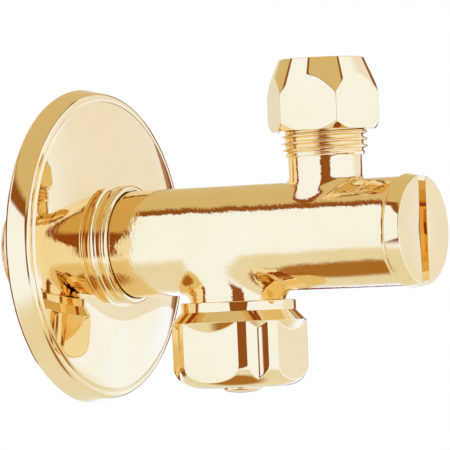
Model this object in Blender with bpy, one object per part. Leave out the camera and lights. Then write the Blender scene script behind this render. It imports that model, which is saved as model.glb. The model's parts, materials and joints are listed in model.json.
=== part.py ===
"""Angle stop valve: a wall-mounted water valve with a strainer, a compression outlet and a turning knob.

Frame: metres. The origin is the inlet's axis in the plane of the wall. +X runs out of the wall along the
barrel, +Z runs up along the outlet, and the knob hangs below the barrel on -Z.
"""

import math

import bmesh
import bpy
from mathutils import Matrix, Vector

MM = 0.001
GAP = 0.3 * MM                      # clearance between pieces that touch on the real object

# Driving dimensions, barrel
BARREL_R = 10.45 * MM
BARREL_END_X = 71.0 * MM
INLET_END_X = -13.0 * MM
INLET_CREST_R = 10.48 * MM          # G1/2 thread
INLET_ROOT_R = 9.32 * MM
INLET_PITCH = 1.814 * MM
INLET_BORE_R = 4.5 * MM

# Driving dimensions, knob and headwork axis
HANDLE_X = 33.3 * MM
BOSS_R = 9.25 * MM
BOSS_FLARE_R = 10.9 * MM
BOSS_END_Z = -16.0 * MM
SEAT_Z = -6.5 * MM
ORIFICE_R = 3.6 * MM
CHAMBER_R = 7.0 * MM
BONNET_SHOULDER_Z = -8.9 * MM
BONNET_BORE_R = 7.9 * MM
PLUNGER_TRAVEL = 2.5 * MM
SPINDLE_R = 3.3 * MM
GUIDE_ACROSS = 10.0 * MM            # hexagon guide in the bonnet, across flats

# Driving dimensions, knob
KNOB_R = 13.1 * MM
KNOB_RING_R = 11.2 * MM
KNOB_TOP_Z = -12.0 * MM
KNOB_RING_Z = -13.9 * MM
KNOB_RIM_Z = -15.9 * MM
KNOB_BOTTOM_Z = -28.6 * MM
KNOB_ROUND_R = 4.2 * MM
KNOB_FLAT_R = 11.7 * MM             # distance of the four flats from the axis
KNOB_GROOVE_R = 12.05 * MM          # bottom of the four grooves
KNOB_GROOVE_HALF = math.radians(9)
KNOB_SHOULDER_SLOPE = 0.76          # radius lost per unit of height, where flats and grooves run out
KNOB_CAVITY_R = 9.6 * MM

# Driving dimensions, outlet
OUTLET_X = 53.65 * MM
NECK_R = 7.1 * MM
OUTLET_CREST_R = 8.33 * MM          # G3/8 thread
OUTLET_ROOT_R = 7.49 * MM
OUTLET_PITCH = 1.337 * MM
OUTLET_THREAD_Z = 15.5 * MM
OUTLET_TOP_Z = 25.5 * MM
PIPE_R = 5.1 * MM                   # socket for a 10 mm pipe
OUTLET_BORE_R = 4.2 * MM

# Driving dimensions, compression nut
NUT_ACROSS = 19.4 * MM
NUT_BOTTOM_Z = 20.0 * MM
NUT_TOP_Z = 33.8 * MM
NUT_TOP_R = 8.2 * MM
NUT_CONE_SLOPE = 0.43               # radius gained per unit of height below the top
NUT_CORNER_ANGLE = math.radians(-48.5)
NUT_BORE_R = 8.7 * MM

# Driving dimensions, filter chamber and its cap
CHAMBER_START_X = 44.0 * MM
FILTER_BORE_R = 7.4 * MM
CAP_THREAD_X = 63.0 * MM
CAP_BORE_R = 8.9 * MM
CAP_BACK_X = 71.3 * MM
CAP_FRONT_X = 74.25 * MM
CAP_BACK_R = 10.9 * MM
CAP_FRONT_R = 10.45 * MM
CAP_SLOT_WIDTH = 3.0 * MM
CAP_SLOT_DEPTH = 2.2 * MM

# Driving dimensions, rosette
ROSETTE_R = 30.9 * MM
ROSETTE_REAR_R = 30.5 * MM
ROSETTE_EDGE_R = 28.9 * MM
ROSETTE_DOME_R = 60.0 * MM
ROSETTE_FACE_X = 7.3 * MM
ROSETTE_SHEET = 0.6 * MM
SLEEVE_R = 11.05 * MM
SLEEVE_BORE_R = 10.65 * MM
BEAD_R = 11.65 * MM
BEAD_X = 9.8 * MM
BEAD_HALF = 0.95 * MM

# Facets round a full turn
FINE = 44
PLAIN = 32
SMALL = 20
PLATE = 48

GOLD = (0.80, 0.56, 0.20)
BRASS = (0.72, 0.55, 0.25)
RUBBER = (0.02, 0.02, 0.02)
STEEL = (0.62, 0.62, 0.60)
PLASTIC = (0.80, 0.80, 0.76)


def clear_scene():
    for obj in list(bpy.data.objects):
        bpy.data.objects.remove(obj, do_unlink=True)


def make_material(name, colour, roughness, metallic):
    material = bpy.data.materials.new(name)
    material.use_nodes = True
    shader = material.node_tree.nodes["Principled BSDF"]
    shader.inputs["Base Color"].default_value = (*colour, 1.0)
    shader.inputs["Roughness"].default_value = roughness
    shader.inputs["Metallic"].default_value = metallic
    material.diffuse_color = (*colour, 1.0)
    return material


def axis_empty(name, location):
    """An empty on a joint's axis, which the pieces that move on it hang from."""
    empty = bpy.data.objects.new(name, None)
    empty.location = location
    bpy.context.scene.collection.objects.link(empty)
    return empty


def finish(name, mesh, finish_spec=None, parent=None):
    """Turns a bmesh in world coordinates into a named object, smooth shaded and hung from its parent."""
    bmesh.ops.remove_doubles(mesh, verts=mesh.verts, dist=1e-7)
    bmesh.ops.recalc_face_normals(mesh, faces=mesh.faces)
    data = bpy.data.meshes.new(name)
    if parent is not None:
        mesh.transform(Matrix.Translation(-parent.location))
    mesh.to_mesh(data)
    mesh.free()
    data.shade_smooth()
    data.set_sharp_from_angle(angle=math.radians(35))
    obj = bpy.data.objects.new(name, data)
    bpy.context.scene.collection.objects.link(obj)
    if parent is not None:
        obj.parent = parent
    if finish_spec is None:
        obj.hide_render = True
        obj.display_type = "WIRE"
    else:
        data.materials.append(make_material(name + "_finish", *finish_spec))
    return obj


def turned_bmesh(profile, along, centre, facets, start=0.0):
    """Spins a closed (radius, height) outline about an axis through centre, parallel to X or Z."""
    mesh = bmesh.new()
    direction = Vector((1, 0, 0)) if along == "X" else Vector((0, 0, 1))
    outward = Vector((0, 0, 1)) if along == "X" else Vector((1, 0, 0))
    outward = Matrix.Rotation(start, 3, direction) @ outward
    points = [mesh.verts.new(Vector(centre) + r * outward + h * direction) for r, h in profile]
    edges = []
    for first, second in zip(points, points[1:] + points[:1]):
        if first.co != second.co:
            edges.append(mesh.edges.new((first, second)))
    axis_edges = [e for e in edges if all(on_axis(v.co, centre, direction) for v in e.verts)]
    bmesh.ops.delete(mesh, geom=axis_edges, context="EDGES_FACES")
    bmesh.ops.spin(mesh, geom=mesh.verts[:] + mesh.edges[:], cent=centre, axis=direction,
                   angle=math.tau, steps=facets, use_merge=True, use_duplicate=False)
    bmesh.ops.remove_doubles(mesh, verts=mesh.verts, dist=1e-7)
    return mesh


def on_axis(point, centre, direction):
    return (Vector(point) - Vector(centre)).cross(direction).length < 1e-9


def turned(name, profile, along, centre, facets, finish_spec=None, parent=None, start=0.0):
    return finish(name, turned_bmesh(profile, along, centre, facets, start), finish_spec, parent)


def prism(name, sides, inner_r, low, high, centre, angle=0.0, finish_spec=None, parent=None):
    """An upright prism with flats at inner_r from its axis."""
    corner_r = inner_r / math.cos(math.pi / sides)
    outline = [(0, high), (corner_r, high), (corner_r, low), (0, low)]
    return turned(name, outline, "Z", centre, sides, finish_spec, parent, angle)


def box(name, low, high):
    mesh = bmesh.new()
    size = Vector(high) - Vector(low)
    middle = (Vector(high) + Vector(low)) / 2
    bmesh.ops.create_cube(mesh, size=1.0, matrix=Matrix.Translation(middle) @ Matrix.Diagonal((*size, 1)))
    return finish(name, mesh)


def add_boolean(obj, other, operation):
    modifier = obj.modifiers.new(operation.title() + "_" + other.name, "BOOLEAN")
    modifier.operation = operation
    modifier.solver = "EXACT"
    modifier.object = other


def cut(obj, *cutters):
    for cutter in cutters:
        add_boolean(obj, cutter, "DIFFERENCE")


def join(obj, *others):
    for other in others:
        add_boolean(obj, other, "UNION")


def arc(centre_r, centre_h, radius, start_deg, end_deg, steps):
    """Points of an arc in (radius, height), angles from the outward direction towards +height."""
    points = []
    for i in range(steps + 1):
        a = math.radians(start_deg + (end_deg - start_deg) * i / steps)
        points.append((centre_r + radius * math.cos(a), centre_h + radius * math.sin(a)))
    return points


def ring_thread(crest_r, root_r, low, high, pitch):
    """The outer outline of a thread drawn as rings, from high to low."""
    turns = int((high - low) / pitch)
    spare = (high - low) - turns * pitch
    points = [(root_r, high)]
    for turn in range(turns):
        top = high - spare / 2 - turn * pitch
        points += [(crest_r, top - 0.45 * pitch), (root_r, top - 0.95 * pitch)]
    points.append((root_r, low))
    return points


def o_ring(name, centre_r, section_r, at, along, centre, parent):
    outline = arc(centre_r, at, section_r, 0, 300, 5)
    return turned(name, outline, along, centre, SMALL, (RUBBER, 0.55, 0.0), parent)


# Body

def barrel_outline():
    """Outer outline of the barrel and inlet stub, from the free end to the wall end."""
    fillet = 0.5 * MM
    stub_start = 1.5 * MM
    outline = [(0, BARREL_END_X)]
    outline += [(r, h) for r, h in reversed(arc(BARREL_R - fillet, BARREL_END_X - fillet, fillet, 0, 90, 3))]
    outline.append((BARREL_R, stub_start + 1.2 * MM))
    outline += ring_thread(INLET_CREST_R, INLET_ROOT_R, INLET_END_X, stub_start, INLET_PITCH)
    outline.append((0, INLET_END_X))
    return outline


def make_body():
    body = turned("valve_body", barrel_outline(), "X", (0, 0, 0), FINE, (GOLD, 0.12, 1.0))
    on_handle = (HANDLE_X, 0, 0)
    on_outlet = (OUTLET_X, 0, 0)
    boss = [(0, -1 * MM), (BOSS_FLARE_R, -1 * MM), (BOSS_FLARE_R, -7 * MM)]
    boss += [(BOSS_R + 0.7 * MM, -9.5 * MM), (BOSS_R + 0.1 * MM, -11.4 * MM), (BOSS_R, -12.2 * MM)]
    boss += [(BOSS_R, BOSS_END_Z), (0, BOSS_END_Z)]
    boss = turned("boss_form", boss, "Z", on_handle, PLAIN)
    neck = [(0, OUTLET_TOP_Z)] + ring_thread(OUTLET_CREST_R, OUTLET_ROOT_R, OUTLET_THREAD_Z, OUTLET_TOP_Z,
                                             OUTLET_PITCH)
    neck += [(NECK_R, OUTLET_THREAD_Z - 0.4 * MM), (NECK_R, 11.0 * MM), (NECK_R + 0.5 * MM, 9.6 * MM)]
    neck += [(NECK_R + 1.6 * MM, 8.2 * MM), (NECK_R + 1.6 * MM, 2 * MM), (0, 2 * MM)]
    neck = turned("neck_form", neck, "Z", on_outlet, PLAIN)
    join(body, boss, neck)
    cut(body, *body_cutters(on_handle, on_outlet))


def body_cutters(on_handle, on_outlet):
    inlet_end_x = HANDLE_X + 3.0 * MM
    inlet = [(0, inlet_end_x), (INLET_BORE_R, inlet_end_x - 2 * MM), (INLET_BORE_R, -9 * MM)]
    inlet += [(6.2 * MM, -10 * MM), (6.2 * MM, -14 * MM), (0, -14 * MM)]
    inlet = turned("inlet_bore", inlet, "X", (0, 0, 0), SMALL)
    head = [(0, -2.2 * MM), (ORIFICE_R, -2.2 * MM), (ORIFICE_R, SEAT_Z), (CHAMBER_R, SEAT_Z)]
    head += [(CHAMBER_R, BONNET_SHOULDER_Z), (BONNET_BORE_R, BONNET_SHOULDER_Z), (BONNET_BORE_R, -17 * MM)]
    head += [(0, -17 * MM)]
    head = turned("headwork_bore", head, "Z", on_handle, PLAIN)
    filter_side = [(0, 72 * MM), (CAP_BORE_R, 72 * MM), (CAP_BORE_R, CAP_THREAD_X), (FILTER_BORE_R, CAP_THREAD_X)]
    filter_side += [(FILTER_BORE_R, CHAMBER_START_X), (0, CHAMBER_START_X)]
    filter_side = turned("filter_bore", filter_side, "X", (0, 0, 0), PLAIN)
    outlet = [(0, 26.5 * MM), (7.3 * MM, 26.5 * MM), (PIPE_R, 24.3 * MM), (PIPE_R, 19 * MM)]
    outlet += [(OUTLET_BORE_R, 19 * MM), (OUTLET_BORE_R, 5 * MM), (0, 5 * MM)]
    outlet = turned("outlet_bore", outlet, "Z", on_outlet, PLAIN)
    return inlet, head, filter_side, outlet, passage_cutter()


def passage_cutter():
    """Slanting drilling from the filter chamber down into the headwork chamber."""
    start = Vector((47.0, 0, -3.0)) * MM
    end = Vector((38.3, 0, -7.6)) * MM
    mesh = bmesh.new()
    middle = (start + end) / 2
    turn = (end - start).to_track_quat("Z", "Y").to_matrix().to_4x4()
    bmesh.ops.create_cone(mesh, cap_ends=True, segments=SMALL, radius1=1.9 * MM, radius2=1.9 * MM,
                          depth=(end - start).length, matrix=Matrix.Translation(middle) @ turn)
    return finish("passage_bore", mesh)


# Rosette

def dome_x(r):
    """Height of the plate's shallow dome, which is highest at the sleeve."""
    return ROSETTE_FACE_X - (r - SLEEVE_R) ** 2 / (2 * ROSETTE_DOME_R)


def rosette_outline():
    """Section of the pressed plate: outside from the wall to the bead, then back along the inside."""
    sheet = ROSETTE_SHEET
    dome = [ROSETTE_EDGE_R + (SLEEVE_R + 0.7 * MM - ROSETTE_EDGE_R) * i / 6 for i in range(7)]
    outside = [(ROSETTE_REAR_R, 0), (ROSETTE_R, 1.8 * MM), (ROSETTE_R, 2.9 * MM)]
    outside += [(ROSETTE_R - 0.45 * MM, 3.9 * MM)]
    outside += [(r, dome_x(r)) for r in dome]
    outside += [(SLEEVE_R, ROSETTE_FACE_X + 0.6 * MM)]
    bead = arc(BEAD_R - BEAD_HALF, BEAD_X, BEAD_HALF, -65, 90, 4)
    inside = [(SLEEVE_BORE_R, BEAD_X + BEAD_HALF), (SLEEVE_BORE_R, ROSETTE_FACE_X - sheet)]
    inside += [(r, dome_x(r) - sheet) for r in reversed(dome[1:-1])]
    inside += [(ROSETTE_EDGE_R, dome_x(ROSETTE_EDGE_R) - sheet - 0.1 * MM)]
    inside += [(ROSETTE_R - sheet, 2.7 * MM), (ROSETTE_R - sheet, 1.8 * MM), (ROSETTE_REAR_R - sheet, 0)]
    return outside + bead + inside


def make_rosette(parent):
    turned("rosette", rosette_outline(), "X", (0, 0, 0), PLATE, (GOLD, 0.06, 1.0), parent)


# Headwork

def make_bonnet(parent):
    outline = [(0, -9.2 * MM), (7.2 * MM, -9.2 * MM), (7.5 * MM, -9.6 * MM), (7.5 * MM, -14.7 * MM)]
    outline += [(6.6 * MM, -14.7 * MM), (6.6 * MM, -15.95 * MM), (7.5 * MM, -15.95 * MM)]
    outline += [(7.5 * MM, -16.3 * MM), (9.0 * MM, -16.3 * MM), (9.0 * MM, -18.0 * MM)]
    outline += [(5.6 * MM, -18.3 * MM), (5.6 * MM, -22.0 * MM), (0, -22.0 * MM)]
    bonnet = turned("bonnet", outline, "Z", (HANDLE_X, 0, 0), PLAIN, (BRASS, 0.3, 1.0), parent)
    guide = prism("guide_hole", 6, GUIDE_ACROSS / 2, -17.6 * MM, -8 * MM, (HANDLE_X, 0, 0))
    bore = [(0, -17 * MM), (SPINDLE_R + GAP, -17 * MM), (SPINDLE_R + GAP, -23 * MM), (0, -23 * MM)]
    bore = turned("spindle_bore", bore, "Z", (HANDLE_X, 0, 0), SMALL)
    cut(bonnet, guide, bore)
    o_ring("bonnet_o_ring", 7.2 * MM, 0.42 * MM, -15.33 * MM, "Z", (HANDLE_X, 0, 0), parent)


def make_spindle(parent):
    groove_r = 2.45 * MM
    outline = [(0, -11.8 * MM), (2.7 * MM, -11.8 * MM), (3.0 * MM, -12.1 * MM), (3.0 * MM, -16.4 * MM)]
    outline += [(4.6 * MM, -16.4 * MM), (4.6 * MM, -17.0 * MM), (SPINDLE_R, -17.0 * MM)]
    for middle in (-19.0 * MM, -20.9 * MM):
        outline += [(SPINDLE_R, middle + 0.6 * MM), (groove_r, middle + 0.6 * MM)]
        outline += [(groove_r, middle - 0.6 * MM), (SPINDLE_R, middle - 0.6 * MM)]
    outline += [(SPINDLE_R, -22.15 * MM), (2.6 * MM, -22.15 * MM), (2.6 * MM, -23.1 * MM), (0, -23.1 * MM)]
    centre = (HANDLE_X, 0, 0)
    spindle = turned("spindle", outline, "Z", centre, SMALL, (BRASS, 0.25, 1.0), parent)
    square = prism("spindle_square", 4, 2.3 * MM, -26.1 * MM, -22.9 * MM, centre, math.radians(45))
    join(spindle, square)
    hole = [(0, -22.9 * MM), (1.6 * MM, -22.9 * MM), (1.6 * MM, -27 * MM), (0, -27 * MM)]
    cut(spindle, turned("spindle_screw_hole", hole, "Z", centre, SMALL))
    o_ring("spindle_o_ring_upper", 3.0 * MM, 0.38 * MM, -19.0 * MM, "Z", centre, parent)
    o_ring("spindle_o_ring_lower", 3.0 * MM, 0.38 * MM, -20.9 * MM, "Z", centre, parent)
    washer = [(4.5 * MM, -17.15 * MM), (4.5 * MM, -17.45 * MM), (3.5 * MM, -17.45 * MM), (3.5 * MM, -17.15 * MM)]
    turned("thrust_washer", washer, "Z", centre, SMALL, (PLASTIC, 0.4, 0.0), parent)
    clip = [(4.4 * MM, -22.2 * MM), (4.4 * MM, -22.7 * MM), (2.8 * MM, -22.7 * MM), (2.8 * MM, -22.2 * MM)]
    clip = turned("spindle_clip", clip, "Z", centre, SMALL, (STEEL, 0.3, 1.0), parent)
    mouth = box("clip_mouth", (HANDLE_X - 2.2 * MM, 1 * MM, -24 * MM), (HANDLE_X + 2.2 * MM, 6 * MM, -22 * MM))
    cut(clip, mouth)


def make_plunger(parent):
    centre = (HANDLE_X, 0, 0)
    plunger = prism("plunger", 6, GUIDE_ACROSS / 2 - 0.2 * MM, -13.8 * MM, -8.3 * MM, centre, 0.0,
                    (BRASS, 0.3, 1.0), parent)
    hole = [(0, -9.0 * MM), (3.3 * MM, -9.3 * MM), (3.3 * MM, -15 * MM), (0, -15 * MM)]
    screw_hole = [(0, -8 * MM), (1.5 * MM, -8 * MM), (1.5 * MM, -10 * MM), (0, -10 * MM)]
    cut(plunger, turned("plunger_thread_hole", hole, "Z", centre, SMALL),
        turned("plunger_screw_hole", screw_hole, "Z", centre, SMALL))
    washer = [(4.7 * MM, -6.8 * MM), (4.7 * MM, -8.0 * MM), (1.5 * MM, -8.0 * MM), (1.5 * MM, -6.8 * MM)]
    turned("seat_washer", washer, "Z", centre, SMALL, (RUBBER, 0.6, 0.0), parent)
    screw = [(0, -5.6 * MM), (1.7 * MM, -5.7 * MM), (2.2 * MM, -6.2 * MM), (2.2 * MM, -6.5 * MM)]
    screw += [(1.2 * MM, -6.5 * MM), (1.2 * MM, -8.9 * MM), (0, -8.9 * MM)]
    turned("washer_screw", screw, "Z", centre, SMALL, (STEEL, 0.3, 1.0), parent)


# Knob

def knob_radius(turn, z):
    """Outer radius of the knob at an angle and a height: a turned form with flats and grooves cut in."""
    round_top = KNOB_BOTTOM_Z + KNOB_ROUND_R
    if z > KNOB_RING_Z:
        form = KNOB_RING_R
    elif z > KNOB_RIM_Z:
        form = KNOB_R + (KNOB_RING_R - KNOB_R) * (z - KNOB_RIM_Z) / (KNOB_RING_Z - KNOB_RIM_Z)
    elif z > round_top:
        form = KNOB_R
    else:
        form = KNOB_R - KNOB_ROUND_R + math.sqrt(max(0.0, KNOB_ROUND_R**2 - (round_top - z) ** 2))
    if z > KNOB_RIM_Z:
        return form
    quarter = math.tau / 4
    from_flat = (turn + quarter / 2) % quarter - quarter / 2
    from_groove = turn % quarter - quarter / 2
    flat = KNOB_FLAT_R / math.cos(from_flat)
    groove = KNOB_GROOVE_R + (KNOB_R - KNOB_GROOVE_R) * abs(from_groove) / KNOB_GROOVE_HALF
    shoulder = KNOB_R - KNOB_SHOULDER_SLOPE * (KNOB_RIM_Z - z)
    return min(form, max(min(flat, groove), shoulder))


def knob_heights():
    """Heights of the rows of points down the knob's outside."""
    heights = [KNOB_TOP_Z, KNOB_RING_Z, KNOB_RIM_Z, -16.9 * MM, -17.75 * MM]
    round_top = KNOB_BOTTOM_Z + KNOB_ROUND_R
    return heights + [round_top - KNOB_ROUND_R * math.sin(math.radians(a)) for a in (0, 18, 36, 54, 72, 90)]


def knob_turns():
    """Angles round the knob: close together at the edges of the flats and grooves."""
    quarter_turns = [0, 13, 26.7, 31, 36, 45, 54, 59, 63.3, 77]
    return [math.radians(a + 90 * quarter) for quarter in range(4) for a in quarter_turns]


def make_knob(parent):
    mesh = bmesh.new()
    rows = []
    for z in knob_heights():
        row = []
        for turn in knob_turns():
            r = knob_radius(turn, z)
            row.append(mesh.verts.new((HANDLE_X + r * math.cos(turn), r * math.sin(turn), z)))
        rows.append(row)
    for upper, lower in zip(rows, rows[1:]):
        for i, first in enumerate(upper):
            j = (i + 1) % len(upper)
            mesh.faces.new((first, upper[j], lower[j], lower[i]))
    mesh.faces.new(rows[0])
    mesh.faces.new(rows[-1])
    knob = finish("handle_knob", mesh, (GOLD, 0.08, 1.0), parent)
    centre = (HANDLE_X, 0, 0)
    hub_r = 5.2 * MM
    cavity = [(0, -23.0 * MM), (hub_r, -23.0 * MM), (hub_r, -25.5 * MM), (KNOB_CAVITY_R - 1 * MM, -25.5 * MM)]
    cavity += [(KNOB_CAVITY_R, -24.5 * MM), (KNOB_CAVITY_R, -11 * MM), (0, -11 * MM)]
    counterbore = [(0, -27.0 * MM), (3.3 * MM, -27.0 * MM), (3.3 * MM, -30 * MM), (0, -30 * MM)]
    hole = [(0, -25 * MM), (1.7 * MM, -25 * MM), (1.7 * MM, -28 * MM), (0, -28 * MM)]
    cut(knob, turned("knob_cavity", cavity, "Z", centre, PLAIN),
        prism("knob_square_hole", 4, 2.55 * MM, -26.4 * MM, -22 * MM, centre, math.radians(45)),
        turned("knob_counterbore", counterbore, "Z", centre, SMALL),
        turned("knob_screw_hole", hole, "Z", centre, SMALL))
    screw = [(0, -23.4 * MM), (1.3 * MM, -23.4 * MM), (1.3 * MM, -27.25 * MM), (3.0 * MM, -27.25 * MM)]
    screw += [(3.0 * MM, -28.0 * MM), (0, -28.0 * MM)]
    screw = turned("handle_screw", screw, "Z", centre, SMALL, (STEEL, 0.3, 1.0), parent)
    cut(screw, box("screw_slot", (HANDLE_X - 3.5 * MM, -0.4 * MM, -28.5 * MM),
                   (HANDLE_X + 3.5 * MM, 0.4 * MM, -27.6 * MM)))
    cover = [(0, -28.3 * MM), (3.0 * MM, -28.3 * MM), (3.0 * MM, -28.85 * MM), (3.8 * MM, -28.85 * MM)]
    cover += [(3.75 * MM, -29.05 * MM), (3.1 * MM, -29.4 * MM), (1.8 * MM, -29.65 * MM), (0, -29.72 * MM)]
    turned("handle_cover", cover, "Z", centre, SMALL, (GOLD, 0.08, 1.0), parent)


# Outlet

def make_olive(parent):
    outline = [(5.5 * MM, 24.95 * MM), (6.5 * MM, 26.2 * MM), (6.75 * MM, 26.9 * MM), (6.75 * MM, 27.5 * MM)]
    outline += [(5.6 * MM, 29.2 * MM), (PIPE_R, 29.2 * MM), (PIPE_R, 24.95 * MM)]
    turned("compression_olive", outline, "Z", (OUTLET_X, 0, 0), SMALL, (BRASS, 0.3, 1.0), parent)


def make_nut(parent):
    """A hexagon cut from a turned blank, with a chamfer below and a long cone above."""
    centre = (OUTLET_X, 0, 0)
    corner_r = NUT_ACROSS / 2 / math.cos(math.pi / 6)
    blank_r = corner_r + 0.5 * MM
    cone_foot_z = NUT_TOP_Z - (blank_r - NUT_TOP_R) / NUT_CONE_SLOPE
    blank = [(0, NUT_TOP_Z), (NUT_TOP_R, NUT_TOP_Z), (blank_r, cone_foot_z)]
    blank += [(blank_r, NUT_BOTTOM_Z + 2.0 * MM), (corner_r - 1.2 * MM, NUT_BOTTOM_Z), (0, NUT_BOTTOM_Z)]
    nut = turned("compression_nut", blank, "Z", centre, FINE, (GOLD, 0.08, 1.0), parent)
    hexagon = prism("nut_hexagon", 6, NUT_ACROSS / 2, NUT_BOTTOM_Z - 1 * MM, NUT_TOP_Z + 1 * MM, centre,
                    NUT_CORNER_ANGLE)
    add_boolean(nut, hexagon, "INTERSECT")
    bore = [(0, 35 * MM), (5.35 * MM, 35 * MM), (5.35 * MM, 30.6 * MM), (8.0 * MM, 27.9 * MM)]
    bore += [(NUT_BORE_R, 27.9 * MM), (NUT_BORE_R, 18 * MM), (0, 18 * MM)]
    cut(nut, turned("nut_bore", bore, "Z", centre, PLAIN))


# Strainer and cap

def make_cap(parent):
    spigot_r = 8.5 * MM
    outline = [(0, CAP_FRONT_X), (CAP_FRONT_R - 0.3 * MM, CAP_FRONT_X), (CAP_FRONT_R, CAP_FRONT_X - 0.3 * MM)]
    outline += [(CAP_BACK_R, CAP_BACK_X + 0.25 * MM), (CAP_BACK_R - 0.2 * MM, CAP_BACK_X)]
    outline += [(spigot_r, CAP_BACK_X), (spigot_r, 70.9 * MM), (7.65 * MM, 70.9 * MM), (7.65 * MM, 69.6 * MM)]
    outline += [(spigot_r, 69.6 * MM), (spigot_r, 64.5 * MM), (6.8 * MM, 64.5 * MM), (6.8 * MM, 69.6 * MM)]
    outline += [(0, 69.6 * MM)]
    cap = turned("filter_cap", outline, "X", (0, 0, 0), PLAIN, (GOLD, 0.08, 1.0), parent)
    half = CAP_SLOT_WIDTH / 2
    cut(cap, box("cap_slot", (CAP_FRONT_X - CAP_SLOT_DEPTH, -half, -15 * MM),
                 (CAP_FRONT_X + 2 * MM, half, 15 * MM)))


def screen_bmesh(radius, sheet, start_x, end_x, columns, rows):
    """A sleeve of sheet with a chequer of square windows, as one closed skin."""
    mesh = bmesh.new()
    corners = {}
    for layer, r in enumerate((radius, radius - sheet)):
        for row in range(rows + 1):
            x = start_x + (end_x - start_x) * row / rows
            for column in range(columns):
                turn = math.tau * column / columns
                corners[layer, row, column] = mesh.verts.new((x, r * math.cos(turn), r * math.sin(turn)))

    def window(row, column):
        return row % 2 == 1 and column % 2 == 1 and 0 < row < rows - 1

    def wall(row, column, row_next, column_next):
        a, b = (row, column % columns), (row_next, column_next % columns)
        mesh.faces.new([corners[0, *a], corners[0, *b], corners[1, *b], corners[1, *a]])

    for row in range(rows):
        for column in range(columns):
            after = (column + 1) % columns
            if window(row, column):
                wall(row, column, row + 1, column)
                wall(row, after, row + 1, after)
                wall(row, column, row, column + 1)
                wall(row + 1, column, row + 1, column + 1)
                continue
            for layer in (0, 1):
                mesh.faces.new([corners[layer, row, column], corners[layer, row, after],
                                corners[layer, row + 1, after], corners[layer, row + 1, column]])
    for row in (0, rows):
        for column in range(columns):
            wall(row, column, row, column + 1)
    return mesh


def make_strainer(parent):
    screen = screen_bmesh(6.0 * MM, 0.4 * MM, 46.3 * MM, 66.2 * MM, 16, 9)
    finish("strainer_screen", screen, (STEEL, 0.35, 1.0), parent)
    collar = [(6.5 * MM, 69.2 * MM), (6.5 * MM, 66.5 * MM), (4.8 * MM, 66.5 * MM), (4.8 * MM, 69.2 * MM)]
    turned("strainer_collar", collar, "X", (0, 0, 0), SMALL, (PLASTIC, 0.4, 0.0), parent)
    plate = [(0, 46.0 * MM), (6.2 * MM, 46.0 * MM), (6.2 * MM, 45.2 * MM), (0, 45.2 * MM)]
    turned("strainer_end_plate", plate, "X", (0, 0, 0), SMALL, (PLASTIC, 0.4, 0.0), parent)
    o_ring("filter_cap_o_ring", 8.3 * MM, 0.42 * MM, 70.25 * MM, "X", (0, 0, 0), parent)


def main():
    clear_scene()
    rosette_axis = axis_empty("rosette_axis", (0, 0, 0))
    handle_axis = axis_empty("handle_axis", (HANDLE_X, 0, KNOB_TOP_Z))
    plunger_axis = axis_empty("plunger_axis", (HANDLE_X, 0, SEAT_Z))
    outlet_axis = axis_empty("outlet_axis", (OUTLET_X, 0, NUT_BOTTOM_Z))
    cap_axis = axis_empty("cap_axis", (CAP_BACK_X, 0, 0))
    make_body()
    make_rosette(rosette_axis)
    make_bonnet(axis_empty("bonnet_axis", (HANDLE_X, 0, BOSS_END_Z)))
    make_spindle(handle_axis)
    make_plunger(plunger_axis)
    make_knob(handle_axis)
    make_olive(outlet_axis)
    make_nut(outlet_axis)
    make_cap(cap_axis)
    make_strainer(cap_axis)


main()
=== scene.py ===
"""Looks of the angle stop valve: polished gold-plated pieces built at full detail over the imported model.

Frame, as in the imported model: metres, origin on the inlet's axis in the plane of the wall, +X out of the
wall along the barrel, +Z up along the outlet, the knob on -Z.
"""

import json
import math

import bmesh
import bpy
import numpy as np
from mathutils import Matrix, Vector


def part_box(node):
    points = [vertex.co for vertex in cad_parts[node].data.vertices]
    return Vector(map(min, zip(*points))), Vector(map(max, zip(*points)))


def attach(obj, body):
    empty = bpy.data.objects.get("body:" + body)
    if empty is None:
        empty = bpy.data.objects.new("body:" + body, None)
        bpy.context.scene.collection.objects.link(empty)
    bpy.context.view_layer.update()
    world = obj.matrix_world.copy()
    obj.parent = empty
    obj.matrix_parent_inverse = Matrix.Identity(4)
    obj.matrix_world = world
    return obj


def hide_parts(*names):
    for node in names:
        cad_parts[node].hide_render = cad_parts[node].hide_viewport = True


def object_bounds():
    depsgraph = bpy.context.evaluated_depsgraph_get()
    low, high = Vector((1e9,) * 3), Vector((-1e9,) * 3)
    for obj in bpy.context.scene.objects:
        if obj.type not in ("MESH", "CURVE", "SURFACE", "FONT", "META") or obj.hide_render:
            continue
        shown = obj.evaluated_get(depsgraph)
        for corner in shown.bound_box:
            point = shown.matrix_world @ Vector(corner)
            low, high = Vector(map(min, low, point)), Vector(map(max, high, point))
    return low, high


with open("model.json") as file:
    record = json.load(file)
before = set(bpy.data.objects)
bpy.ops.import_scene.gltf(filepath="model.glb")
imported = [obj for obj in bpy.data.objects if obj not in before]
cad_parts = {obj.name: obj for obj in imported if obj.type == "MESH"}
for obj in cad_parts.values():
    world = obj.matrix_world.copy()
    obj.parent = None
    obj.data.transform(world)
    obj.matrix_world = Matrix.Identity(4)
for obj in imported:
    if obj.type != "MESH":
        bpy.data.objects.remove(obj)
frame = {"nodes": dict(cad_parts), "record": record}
CAD_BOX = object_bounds()

MM = 0.001
TURN = math.tau

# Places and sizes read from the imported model
BODY_LOW, BODY_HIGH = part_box("valve_body")
KNOB_LOW, KNOB_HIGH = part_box("handle_knob")
NUT_LOW, NUT_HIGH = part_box("compression_nut")
CAP_LOW, CAP_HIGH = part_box("filter_cap")
OLIVE_LOW, OLIVE_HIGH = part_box("compression_olive")

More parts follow.
